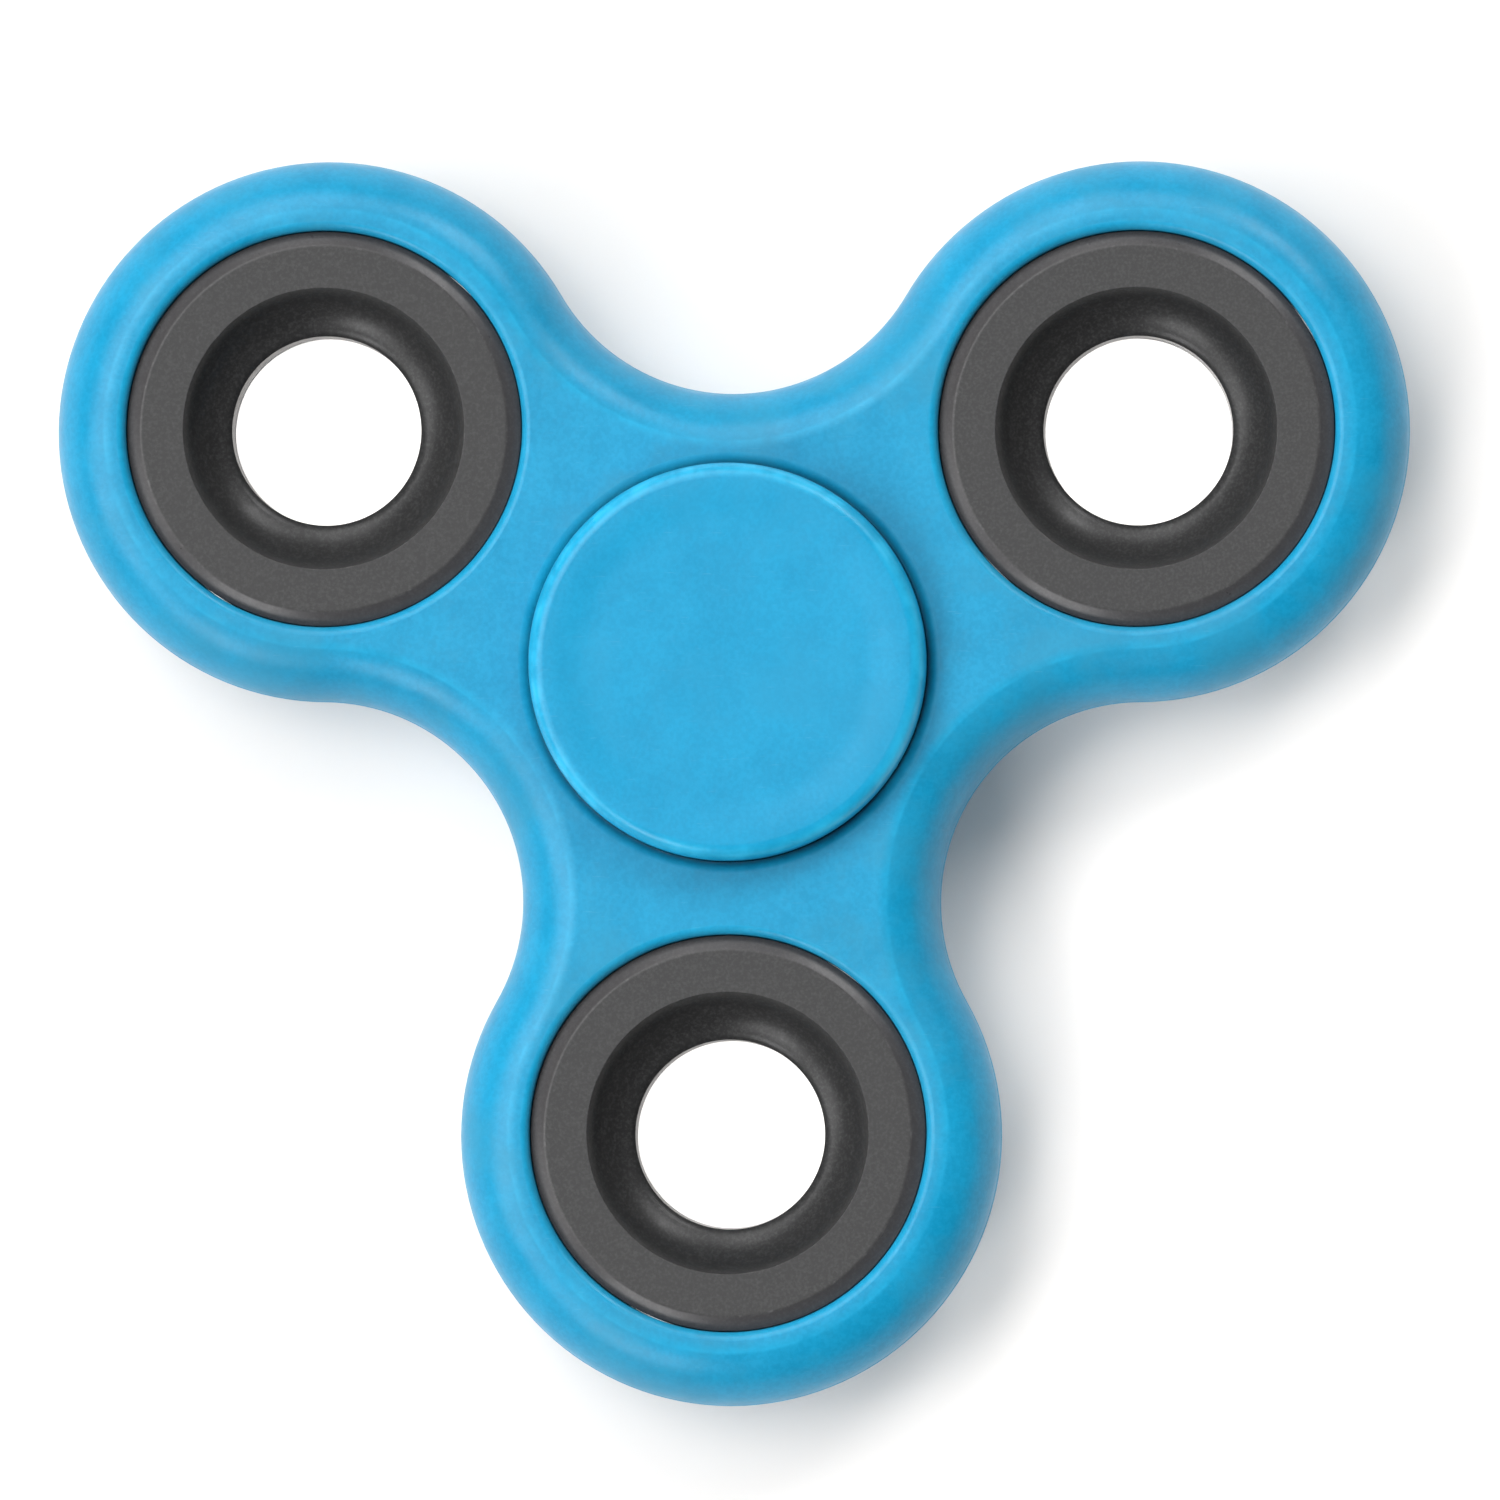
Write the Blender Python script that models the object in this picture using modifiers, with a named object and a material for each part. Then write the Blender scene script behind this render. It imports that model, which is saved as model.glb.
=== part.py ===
"""A fidget spinner: a three-lobed moulded body that turns on a ball bearing between two finger caps.

Metres, +Z up. The spin axis is the Z axis, and the rim of the bottom cap rests on z = 0.
Turned shapes are drawn as (radius, height) profiles, with height counted from the bearing's middle plane.
"""

import math

import bmesh
import bpy
from mathutils import Vector

MM = 0.001
SEGMENTS = 36  # sides of every large turned shape
SEAT_GAP = 0.05 * MM  # left between a pressed-in piece and its seat

# Body
LOBES = 3
FIRST_LOBE_ANGLE = math.radians(30)
LOBE_DISTANCE = 26.0 * MM  # spin axis to the middle of a lobe
LOBE_RADIUS = 15.0 * MM
WAIST_DISTANCE = 15.1 * MM  # spin axis to the nearest edge, between two lobes
BODY_THICKNESS = 7.6 * MM
BODY_EDGE_RADIUS = 2.5 * MM
BODY_EDGE_STEPS = 3
LOBE_STEPS = 40
WAIST_STEPS = 14
POCKET_RADIUS = 11.0 * MM
POCKET_LIP = 0.45 * MM
CUTTER_OVERRUN = 0.5 * MM

# Counterweight rings, one pressed into each lobe
WEIGHT_THICKNESS = 7.0 * MM
WEIGHT_EDGE_RADIUS = 0.75 * MM
WEIGHT_EDGE_STEPS = 2
WEIGHT_RECESS_RADIUS = 7.8 * MM
WEIGHT_RECESS_STEPS = 3
WEIGHT_HOLE_RADIUS = 5.25 * MM
WEIGHT_NECK = 1.8 * MM  # thickness left round the hole
WEIGHT_LIP = 0.2 * MM

# Ball bearing of the standard 22 x 8 x 7 mm size
BEARING_RADIUS = 11.0 * MM
BEARING_BORE_RADIUS = 4.0 * MM
BEARING_WIDTH = 7.0 * MM
RACE_CHAMFER = 0.3 * MM
BALLS = 7
BALL_RADIUS = 3.969 / 2 * MM
BALL_SEGMENTS = 12
BALL_RINGS = 8
PITCH_RADIUS = 7.5 * MM
RACEWAY_CLEARANCE = 0.05 * MM
INNER_GROOVE_RADIUS = 2.06 * MM
OUTER_GROOVE_RADIUS = 2.10 * MM
GROOVE_STEPS = 3
INNER_SHOULDER_RADIUS = 6.05 * MM
OUTER_SHOULDER_RADIUS = 8.95 * MM

# The seat in each face of the outer race, the shield that lies in it and the clip that holds the shield
SEAT_RADIUS = 9.70 * MM
SEAT_FLOOR = 2.45 * MM
SEAT_MOUTH_RADIUS = 9.50 * MM
SEAT_MOUTH_HEIGHT = 3.20 * MM
SHIELD_RADIUS = 9.60 * MM
SHIELD_HOLE_RADIUS = 6.25 * MM
SHIELD_STEP_RADIUS = 8.85 * MM
SHIELD_STEP = 0.22 * MM
SHIELD_SHEET = 0.25 * MM
SHIELD_HEIGHT = 2.52 * MM
CLIP_RADIUS = 9.46 * MM
CLIP_WIRE_RADIUS = 0.16 * MM
CLIP_HEIGHT = 2.99 * MM
CLIP_OPENING = math.radians(44)
CLIP_STEPS = 24

# Ball cage: two pressed ribbons, riveted together between the balls
CAGE_SHEET = 0.30 * MM
CAGE_HALF_GAP = 0.02 * MM  # from the middle plane to each ribbon
CAGE_INNER_RADIUS = 6.65 * MM
CAGE_OUTER_RADIUS = 8.35 * MM
CAGE_POCKET_CLEARANCE = 0.12 * MM
CAGE_ARCH_HALF_TURN = math.radians(66)
CAGE_ARCH_STEPS = 6
RIVET_RADIUS = 0.26 * MM
RIVET_HOLE_RADIUS = 0.32 * MM
RIVET_HEAD_RADIUS = 0.46 * MM
RIVET_HEAD_HEIGHT = 0.17 * MM
RIVET_HEAD_CHAMFER = 0.06 * MM
RIVET_SEGMENTS = 8

# Finger caps
CAP_RADIUS = 11.05 * MM
CAP_TOP = 6.2 * MM  # middle plane to the rim
CAP_UNDERSIDE = 4.2 * MM
CAP_EDGE_RADIUS = 0.8 * MM
CAP_EDGE_STEPS = 3
CAP_UNDERCUT = 0.25 * MM
CAP_DISH_DEPTH = 0.15 * MM
CAP_DISH_RADIUS = 7.0 * MM  # of the dish's flat floor
CAP_DISH_STEPS = 3
CAP_RIM_RADIUS = 10.0 * MM  # inner edge of the rim
CAP_BOSS_RADIUS = 5.5 * MM
CAP_SPIGOT_END = 0.2 * MM
CAP_SPIGOT_CHAMFER = 0.3 * MM
CAP_CORE_RADIUS = 2.2 * MM
CAP_CORE_END = 3.9 * MM

MIDDLE_HEIGHT = CAP_TOP  # of the bearing's middle plane above the table

SHARP_ANGLE = math.radians(35)
WELD_DISTANCE = 0.001 * MM


# Scene helpers


def clear_scene():
    for obj in list(bpy.data.objects):
        bpy.data.objects.remove(obj)


def new_collection(name, parent=None):
    collection = bpy.data.collections.new(name)
    (parent or bpy.context.scene.collection).children.link(collection)
    return collection


def new_material(name, colour, roughness, metallic=0.0):
    material = bpy.data.materials.new(name)
    material.use_nodes = True
    shader = material.node_tree.nodes["Principled BSDF"]
    shader.inputs["Base Color"].default_value = (*colour, 1)
    shader.inputs["Roughness"].default_value = roughness
    shader.inputs["Metallic"].default_value = metallic
    return material


def new_object(name, data, collection, parent=None, place=(0, 0, 0)):
    obj = bpy.data.objects.new(name, data)
    obj.parent = parent
    obj.location = place
    collection.objects.link(obj)
    return obj


def evaluated_mesh(obj, name):
    """The object's evaluated shape as a mesh of its own. The object and its first data are removed."""
    bpy.context.view_layer.update()
    graph = bpy.context.evaluated_depsgraph_get()
    mesh = bpy.data.meshes.new_from_object(obj.evaluated_get(graph))
    bpy.data.batch_remove((obj, obj.data))
    mesh.name = name
    shape = bmesh.new()
    shape.from_mesh(mesh)
    bmesh.ops.remove_doubles(shape, verts=shape.verts, dist=WELD_DISTANCE)
    shape.to_mesh(mesh)
    shape.free()
    mesh.shade_smooth()
    mesh.set_sharp_from_angle(angle=SHARP_ANGLE)
    return mesh


def cut_holes(obj, mesh, places, cutters):
    """Cuts one hole of the mesh's shape at each place. The cutters stay in a collection under cutters."""
    holes = new_collection(mesh.name, cutters)
    for number, place in enumerate(places, start=1):
        hole = new_object(f"{mesh.name}_{number}", mesh, holes, place=place)
        hole.hide_render = True
        hole.display_type = "WIRE"
    boolean = obj.modifiers.new("holes", "BOOLEAN")
    boolean.operation = "DIFFERENCE"
    boolean.operand_type = "COLLECTION"
    boolean.collection = holes


# Profiles, turned shapes and wires


def polar(radius, angle, height=0.0):
    return Vector((radius * math.cos(angle), radius * math.sin(angle), height))


def arc(middle, radius, start, end, steps, height=None):
    """Points along an arc about middle, both ends included. A height makes it elliptical."""
    height = height or radius
    angles = [start + (end - start) * step / steps for step in range(steps + 1)]
    return [(middle[0] + radius * math.cos(a), middle[1] + height * math.sin(a)) for a in angles]


def both_sides(upper):
    """A ring's closed profile from the half above the middle plane, bore side first."""
    lower = [(radius, -height) for radius, height in reversed(upper) if height > WELD_DISTANCE]
    return upper + lower


def turned(name, profile, segments=SEGMENTS):
    """The mesh that a profile makes about Z. A profile that stays clear of the axis is a closed ring's."""
    shape = bmesh.new()
    corners = [shape.verts.new((radius, 0, height)) for radius, height in profile]
    ends = corners[1:]
    if min(radius for radius, _ in profile) > 0:
        ends = ends + corners[:1]
    for corner, end in zip(corners, ends):
        shape.edges.new((corner, end))
    outline = bpy.data.meshes.new(name)
    shape.to_mesh(outline)
    shape.free()
    obj = new_object(name, outline, bpy.context.scene.collection)
    screw = obj.modifiers.new("turn", "SCREW")
    screw.steps = segments
    screw.render_steps = segments
    screw.use_merge_vertices = True
    screw.merge_threshold = WELD_DISTANCE
    return evaluated_mesh(obj, name)


def poly_curve(name, points, closed):
    curve = bpy.data.curves.new(name, "CURVE")
    spline = curve.splines.new("POLY")
    spline.points.add(len(points) - 1)
    for corner, point in zip(spline.points, points):
        corner.co = (*point, 1)
    spline.use_cyclic_u = closed
    return curve


# Body


def waist_radius():
    """The radius of the hollow arc that touches two lobes at WAIST_DISTANCE from the spin axis."""
    along = LOBE_DISTANCE * math.cos(math.pi / LOBES)
    reach = WAIST_DISTANCE**2 + LOBE_DISTANCE**2 - 2 * WAIST_DISTANCE * along
    return (reach - LOBE_RADIUS**2) / (2 * (LOBE_RADIUS + along - WAIST_DISTANCE))


def lobe_angles():
    return [FIRST_LOBE_ANGLE + lobe * 2 * math.pi / LOBES for lobe in range(LOBES)]


def lobe_places():
    return [polar(LOBE_DISTANCE, angle) for angle in lobe_angles()]


def body_outline():
    """Each lobe's arc, then the hollow arc that it meets in a tangent."""
    hollow = waist_radius()
    toward_waist = polar(WAIST_DISTANCE + hollow, math.pi / LOBES) - polar(LOBE_DISTANCE, 0)
    lobe_half_turn = math.atan2(toward_waist.y, toward_waist.x)
    waist_half_turn = lobe_half_turn - math.pi / LOBES
    points = []
    for out in lobe_angles():
        middle = polar(LOBE_DISTANCE, out)
        points += arc(middle, LOBE_RADIUS, out - lobe_half_turn, out + lobe_half_turn, LOBE_STEPS)[:-1]
        middle = polar(WAIST_DISTANCE + hollow, out + math.pi / LOBES)
        back = out + math.pi / LOBES + math.pi
        points += arc(middle, hollow, back + waist_half_turn, back - waist_half_turn, WAIST_STEPS)[:-1]
    return [(x, y, 0) for x, y in points]


def pocket_mesh():
    """A through hole with a flared mouth on both faces."""
    end = BODY_THICKNESS / 2 + CUTTER_OVERRUN
    mouth = POCKET_RADIUS + POCKET_LIP + CUTTER_OVERRUN
    wall = BODY_THICKNESS / 2 - POCKET_LIP
    upper = [(0, end), (mouth, end), (POCKET_RADIUS, wall)]
    return turned("pocket", upper + [(radius, -height) for radius, height in reversed(upper)])


def body_mesh(cutters):
    outline = poly_curve("body_outline", body_outline(), closed=True)
    outline.dimensions = "2D"
    outline.fill_mode = "BOTH"
    outline.extrude = BODY_THICKNESS / 2
    scene = bpy.context.scene.collection
    plate = evaluated_mesh(new_object("body_outline", outline, scene), "body_plate")
    body = new_object("body_plate", plate, scene)
    bevel = body.modifiers.new("rounded edge", "BEVEL")
    bevel.width = BODY_EDGE_RADIUS
    bevel.segments = BODY_EDGE_STEPS
    bevel.use_clamp_overlap = False
    cut_holes(body, pocket_mesh(), [(0, 0, 0), *lobe_places()], cutters)
    return evaluated_mesh(body, "spinner_body")


# Counterweight ring


def weight_mesh():
    """A thick ring, its hole widened on both faces by a hollow that is steep at its edge."""
    half = WEIGHT_THICKNESS / 2
    neck = WEIGHT_NECK / 2
    lip = WEIGHT_HOLE_RADIUS + WEIGHT_LIP
    wide = WEIGHT_RECESS_RADIUS - lip
    rounded = POCKET_RADIUS - SEAT_GAP - WEIGHT_EDGE_RADIUS
    upper = [(WEIGHT_HOLE_RADIUS, neck - WEIGHT_LIP)]
    upper += arc((lip, half), wide, -math.pi / 2, 0, WEIGHT_RECESS_STEPS, height=half - neck)
    edge_middle = (rounded, half - WEIGHT_EDGE_RADIUS)
    upper += arc(edge_middle, WEIGHT_EDGE_RADIUS, math.pi / 2, 0, WEIGHT_EDGE_STEPS)
    return turned("counterweight", both_sides(upper))


# Bearing


def inner_race_mesh():
    half = BEARING_WIDTH / 2
    groove_middle = PITCH_RADIUS - BALL_RADIUS - RACEWAY_CLEARANCE + INNER_GROOVE_RADIUS
    groove_start = math.acos((INNER_SHOULDER_RADIUS - groove_middle) / INNER_GROOVE_RADIUS)
    upper = [
        (BEARING_BORE_RADIUS, half - RACE_CHAMFER),
        (BEARING_BORE_RADIUS + RACE_CHAMFER, half),
        (INNER_SHOULDER_RADIUS - RACE_CHAMFER, half),
        (INNER_SHOULDER_RADIUS, half - RACE_CHAMFER),
    ]
    upper += arc((groove_middle, 0), INNER_GROOVE_RADIUS, groove_start, math.pi, GROOVE_STEPS)
    return turned("bearing_inner_race", both_sides(upper))


def outer_race_mesh():
    half = BEARING_WIDTH / 2
    outside = BEARING_RADIUS - SEAT_GAP
    groove_middle = PITCH_RADIUS + BALL_RADIUS + RACEWAY_CLEARANCE - OUTER_GROOVE_RADIUS
    groove_end = math.acos((OUTER_SHOULDER_RADIUS - groove_middle) / OUTER_GROOVE_RADIUS)
    upper = arc((groove_middle, 0), OUTER_GROOVE_RADIUS, 0, groove_end, GROOVE_STEPS)
    upper += [
        (OUTER_SHOULDER_RADIUS, SEAT_FLOOR),
        (SEAT_RADIUS, SEAT_FLOOR),
        (SEAT_RADIUS, SEAT_MOUTH_HEIGHT),
        (SEAT_MOUTH_RADIUS, SEAT_MOUTH_HEIGHT),
        (SEAT_MOUTH_RADIUS, half),
        (outside - RACE_CHAMFER, half),
        (outside, half - RACE_CHAMFER),
    ]
    return turned("bearing_outer_race", both_sides(upper))


def ball_mesh():
    shape = bmesh.new()
    bmesh.ops.create_uvsphere(shape, u_segments=BALL_SEGMENTS, v_segments=BALL_RINGS, radius=BALL_RADIUS)
    mesh = bpy.data.meshes.new("bearing_ball")
    shape.to_mesh(mesh)
    shape.free()
    mesh.shade_smooth()
    return mesh


def shield_mesh():
    """A sheet washer whose middle is pressed outwards by SHIELD_STEP, clear of the cage."""
    low = SHIELD_HEIGHT
    high = SHIELD_HEIGHT + SHIELD_STEP
    slope = SHIELD_STEP
    profile = [
        (SHIELD_HOLE_RADIUS, high + SHIELD_SHEET),
        (SHIELD_STEP_RADIUS, high + SHIELD_SHEET),
        (SHIELD_STEP_RADIUS + slope, low + SHIELD_SHEET),
        (SHIELD_RADIUS, low + SHIELD_SHEET),
        (SHIELD_RADIUS, low),
        (SHIELD_STEP_RADIUS + slope / 2, low),
        (SHIELD_STEP_RADIUS - slope / 2, high),
        (SHIELD_HOLE_RADIUS, high),
    ]
    return turned("bearing_shield", profile)


def clip_mesh():
    """An open ring of round wire."""
    start = CLIP_OPENING / 2
    route = arc((0, 0), CLIP_RADIUS, start, 2 * math.pi - start, CLIP_STEPS)
    wire = poly_curve("shield_clip", [(x, y, CLIP_HEIGHT) for x, y in route], closed=False)
    wire.dimensions = "3D"
    wire.bevel_depth = CLIP_WIRE_RADIUS
    wire.bevel_resolution = 2
    wire.use_fill_caps = True
    return evaluated_mesh(new_object("shield_clip", wire, bpy.context.scene.collection), "shield_clip")


# Ball cage


def tab_places():
    return [polar(PITCH_RADIUS, (2 * ball + 1) * math.pi / BALLS) for ball in range(BALLS)]


def ribbon_stations():
    """The ribbon over one ball, from a tab's middle on, as the heights of its two faces.

    Each station is ((along, height) on the ball's side, (along, height) on the other side), where along
    is the distance from the ball along the pitch circle.
    """
    inside = BALL_RADIUS + CAGE_POCKET_CLEARANCE
    outside = inside + CAGE_SHEET
    low = CAGE_HALF_GAP
    high = CAGE_HALF_GAP + CAGE_SHEET
    tab = math.pi * PITCH_RADIUS / BALLS
    inside_foot = math.sqrt(inside**2 - low**2)
    outside_foot = math.sqrt(outside**2 - high**2)
    turn_start = math.pi / 2 + CAGE_ARCH_HALF_TURN
    turn_end = math.pi / 2 - CAGE_ARCH_HALF_TURN
    stations = [((-tab, low), (-tab, high)), ((-inside_foot, low), (-outside_foot, high))]
    stations += zip(
        arc((0, 0), inside, turn_start, turn_end, CAGE_ARCH_STEPS),
        arc((0, 0), outside, turn_start, turn_end, CAGE_ARCH_STEPS),
    )
    stations.append(((inside_foot, low), (outside_foot, high)))
    return stations


def ribbon_mesh():
    """One half of the cage before its rivet holes are cut: a loft through four-cornered sections."""
    shape = bmesh.new()
    sections = []
    for ball in range(BALLS):
        turn = ball * 2 * math.pi / BALLS
        for (near, near_height), (far, far_height) in ribbon_stations():
            near_angle = turn + near / PITCH_RADIUS
            far_angle = turn + far / PITCH_RADIUS
            corners = (
                polar(CAGE_INNER_RADIUS, near_angle, near_height),
                polar(CAGE_OUTER_RADIUS, near_angle, near_height),
                polar(CAGE_OUTER_RADIUS, far_angle, far_height),
                polar(CAGE_INNER_RADIUS, far_angle, far_height),
            )
            sections.append([shape.verts.new(corner) for corner in corners])
    for section, following in zip(sections, sections[1:] + sections[:1]):
        for side in range(4):
            after = (side + 1) % 4
            shape.faces.new((section[side], section[after], following[after], following[side]))
    bmesh.ops.recalc_face_normals(shape, faces=shape.faces)
    mesh = bpy.data.meshes.new("cage_ribbon")
    shape.to_mesh(mesh)
    shape.free()
    return mesh


def rivet_hole_mesh():
    shape = bmesh.new()
    bmesh.ops.create_cone(
        shape,
        cap_ends=True,
        segments=RIVET_SEGMENTS,
        radius1=RIVET_HOLE_RADIUS,
        radius2=RIVET_HOLE_RADIUS,
        depth=CAGE_SHEET + 2 * CUTTER_OVERRUN,
    )
    mesh = bpy.data.meshes.new("rivet_hole")
    shape.to_mesh(mesh)
    shape.free()
    return mesh


def cage_half_mesh(cutters):
    ribbon = new_object("cage_ribbon", ribbon_mesh(), bpy.context.scene.collection)
    cut_holes(ribbon, rivet_hole_mesh(), tab_places(), cutters)
    return evaluated_mesh(ribbon, "cage_half")


def rivet_mesh():
    under = CAGE_HALF_GAP * 2 + CAGE_SHEET
    top = under + RIVET_HEAD_HEIGHT
    upper = [
        (0, top),
        (RIVET_HEAD_RADIUS - RIVET_HEAD_CHAMFER, top),
        (RIVET_HEAD_RADIUS, top - RIVET_HEAD_CHAMFER),
        (RIVET_HEAD_RADIUS, under),
        (RIVET_RADIUS, under),
    ]
    profile = upper + [(radius, -height) for radius, height in reversed(upper)]
    return turned("cage_rivet", profile, RIVET_SEGMENTS)


# Finger cap


def dish_profile():
    """The top face from the axis to the rim: a flat floor that rises to the rim in a smooth slope."""
    points = [(0, CAP_TOP - CAP_DISH_DEPTH)]
    for step in range(CAP_DISH_STEPS + 1):
        part = step / CAP_DISH_STEPS
        radius = CAP_DISH_RADIUS + part * (CAP_RIM_RADIUS - CAP_DISH_RADIUS)
        points.append((radius, CAP_TOP - CAP_DISH_DEPTH * (1 + math.cos(math.pi * part)) / 2))
    return points


def cap_mesh():
    """A disc with a seat boss for the inner race and a hollow spigot for its bore."""
    seat = BEARING_WIDTH / 2 + SEAT_GAP
    spigot = BEARING_BORE_RADIUS - SEAT_GAP
    edge_middle = (CAP_RADIUS - CAP_EDGE_RADIUS, CAP_TOP - CAP_EDGE_RADIUS)
    profile = dish_profile()
    profile += arc(edge_middle, CAP_EDGE_RADIUS, math.pi / 2, 0, CAP_EDGE_STEPS)
    profile += [
        (CAP_RADIUS, CAP_UNDERSIDE + CAP_UNDERCUT),
        (CAP_RADIUS - CAP_UNDERCUT, CAP_UNDERSIDE),
        (CAP_BOSS_RADIUS, CAP_UNDERSIDE),
        (CAP_BOSS_RADIUS, seat),
        (spigot, seat),
        (spigot, CAP_SPIGOT_END + CAP_SPIGOT_CHAMFER),
        (spigot - CAP_SPIGOT_CHAMFER, CAP_SPIGOT_END),
        (CAP_CORE_RADIUS, CAP_SPIGOT_END),
        (CAP_CORE_RADIUS, CAP_CORE_END),
        (0, CAP_CORE_END),
    ]
    return turned("finger_cap", profile)


# Assembly


class Assembly:
    """Places each piece under the empty of the group that it moves with, and gives it its material."""

    def __init__(self, name):
        self.parts = new_collection(name)
        self.hub = self.axis("hub", None, (0, 0, MIDDLE_HEIGHT))
        self.rotor = self.axis("rotor", self.hub)
        self.ball_cage = self.axis("ball_cage", self.hub)

    def axis(self, name, parent, place=(0, 0, 0)):
        empty = new_object(name, None, self.parts, parent, place)
        empty.empty_display_size = LOBE_RADIUS
        return empty

    def add(self, name, mesh, material, group, place=(0, 0, 0), underside=False):
        obj = new_object(name, mesh, self.parts, group, place)
        if underside:
            obj.rotation_euler.x = math.pi
        obj.data.materials.clear()
        obj.data.materials.append(material)


def add_rotor(spinner, cutters):
    blue = new_material("body_blue_plastic", (0.040, 0.400, 0.680), 0.42)
    black = new_material("black_painted_steel", (0.085, 0.085, 0.088), 0.45, 0.2)
    spinner.add("spinner_body", body_mesh(cutters), blue, spinner.rotor)
    weight = weight_mesh()
    for number, place in enumerate(lobe_places(), start=1):
        spinner.add(f"counterweight_{number}", weight, black, spinner.rotor, place)


def add_bearing(spinner, cutters):
    steel = new_material("ground_steel", (0.62, 0.62, 0.63), 0.22, 1.0)
    sheet = new_material("sheet_steel", (0.55, 0.55, 0.56), 0.35, 1.0)
    spinner.add("bearing_inner_race", inner_race_mesh(), steel, spinner.hub)
    spinner.add("bearing_outer_race", outer_race_mesh(), steel, spinner.rotor)
    shield = shield_mesh()
    clip = clip_mesh()
    for side, underside in (("top", False), ("bottom", True)):
        spinner.add(f"bearing_{side}_shield", shield, sheet, spinner.rotor, underside=underside)
        spinner.add(f"{side}_shield_clip", clip, sheet, spinner.rotor, underside=underside)
    cage_half = cage_half_mesh(cutters)
    spinner.add("cage_upper_half", cage_half, sheet, spinner.ball_cage)
    spinner.add("cage_lower_half", cage_half, sheet, spinner.ball_cage, underside=True)
    rivet = rivet_mesh()
    for number, place in enumerate(tab_places(), start=1):
        spinner.add(f"cage_rivet_{number}", rivet, sheet, spinner.ball_cage, place)
    ball = ball_mesh()
    for number in range(BALLS):
        place = polar(PITCH_RADIUS, number * 2 * math.pi / BALLS)
        spinner.add(f"bearing_ball_{number + 1}", ball, steel, spinner.ball_cage, place)


def add_caps(spinner):
    blue = new_material("cap_blue_plastic", (0.034, 0.407, 0.701), 0.40)
    cap = cap_mesh()
    spinner.add("top_cap", cap, blue, spinner.hub)
    spinner.add("bottom_cap", cap, blue, spinner.hub, underside=True)


def main():
    clear_scene()
    cutters = new_collection("cutters")
    spinner = Assembly("fidget_spinner")
    add_rotor(spinner, cutters)
    add_bearing(spinner, cutters)
    add_caps(spinner)


main()
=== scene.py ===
"""The looks of the fidget spinner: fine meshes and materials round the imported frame, and a pale studio.

Metres, +Z up. The spin axis is the Z axis, and the rim of the bottom cap rests on z = 0.
Sections are lists of (radius, height, rounding): a corner of that rounding radius, or a plain point at 0.
Heights in a section are counted from the middle plane of its piece.
"""

import math

import bmesh
import bpy
from mathutils import Matrix, Vector


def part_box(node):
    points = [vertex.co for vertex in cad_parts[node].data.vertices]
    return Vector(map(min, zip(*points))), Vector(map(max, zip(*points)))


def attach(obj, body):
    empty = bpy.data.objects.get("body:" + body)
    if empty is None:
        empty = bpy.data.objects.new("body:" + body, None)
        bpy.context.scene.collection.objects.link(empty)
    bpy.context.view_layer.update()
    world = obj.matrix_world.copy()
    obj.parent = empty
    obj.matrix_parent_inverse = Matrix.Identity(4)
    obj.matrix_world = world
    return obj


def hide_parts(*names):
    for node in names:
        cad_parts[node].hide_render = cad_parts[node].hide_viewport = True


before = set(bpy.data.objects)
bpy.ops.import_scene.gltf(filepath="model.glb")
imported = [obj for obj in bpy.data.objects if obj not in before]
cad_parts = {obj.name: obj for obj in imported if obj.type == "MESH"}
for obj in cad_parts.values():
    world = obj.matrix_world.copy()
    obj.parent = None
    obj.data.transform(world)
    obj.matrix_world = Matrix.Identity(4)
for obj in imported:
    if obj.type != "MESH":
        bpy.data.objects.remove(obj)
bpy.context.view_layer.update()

MM = 0.001
FINE_SEGMENTS = 192  # sides of the large turned shapes
SMALL_SEGMENTS = 24  # sides of the rivets
ROUND_STEP = math.radians(9)  # turn between two points of a rounded corner
SUPPORT = 0.02 * MM  # between a rounded corner and the row that keeps the flat beside it flat
SHARP_ANGLE = math.radians(32)

# Body
LOBES = 3
FIRST_LOBE_ANGLE = math.radians(30)
LOBE_DISTANCE = 26.0 * MM
LOBE_RADIUS = 15.0 * MM
WAIST_DISTANCE = 15.1 * MM  # spin axis to the nearest edge, between two lobes
LOBE_STEPS = 88
WAIST_STEPS = 44
BODY_HALF = 3.8 * MM
BODY_EDGE = 3.5 * MM
BODY_EDGE_STEPS = 16
CREASE = 2.5 * MM  # radius of the small bend where the rounded edge meets the face
CREASE_SLOPE = math.radians(14)
CREASE_STEPS = 4
LIP_STEPS = 8
PARTING_HALF = 0.06 * MM  # half the width of the mould's parting line round the wall
PARTING_STEP = 0.03 * MM
WALL_DRAFT = 0.02 * MM
POCKET_RADIUS = 11.0 * MM
LOBE_LIP = (0.5 * MM, 0.5 * MM)  # reach and depth of the rounding at a lobe's pocket
CENTRE_LIP = (0.68 * MM, 0.60 * MM)  # the same at the middle pocket

# Counterweight rings
WEIGHT_HALF = 3.5 * MM
WEIGHT_RADIUS = 10.95 * MM
WEIGHT_CHAMFER = 0.8 * MM
WEIGHT_CHAMFER_DROP = 0.42 * MM
WEIGHT_RECESS_RADIUS = 7.8 * MM
WEIGHT_HOLE_RADIUS = 5.25 * MM
WEIGHT_LIP = 0.2 * MM
WEIGHT_COVE_START = math.radians(16)  # slope of the recess beside the hole
WEIGHT_COVE_END = math.radians(70)  # and where it meets the flat
WEIGHT_COVE_STEPS = 14

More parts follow.
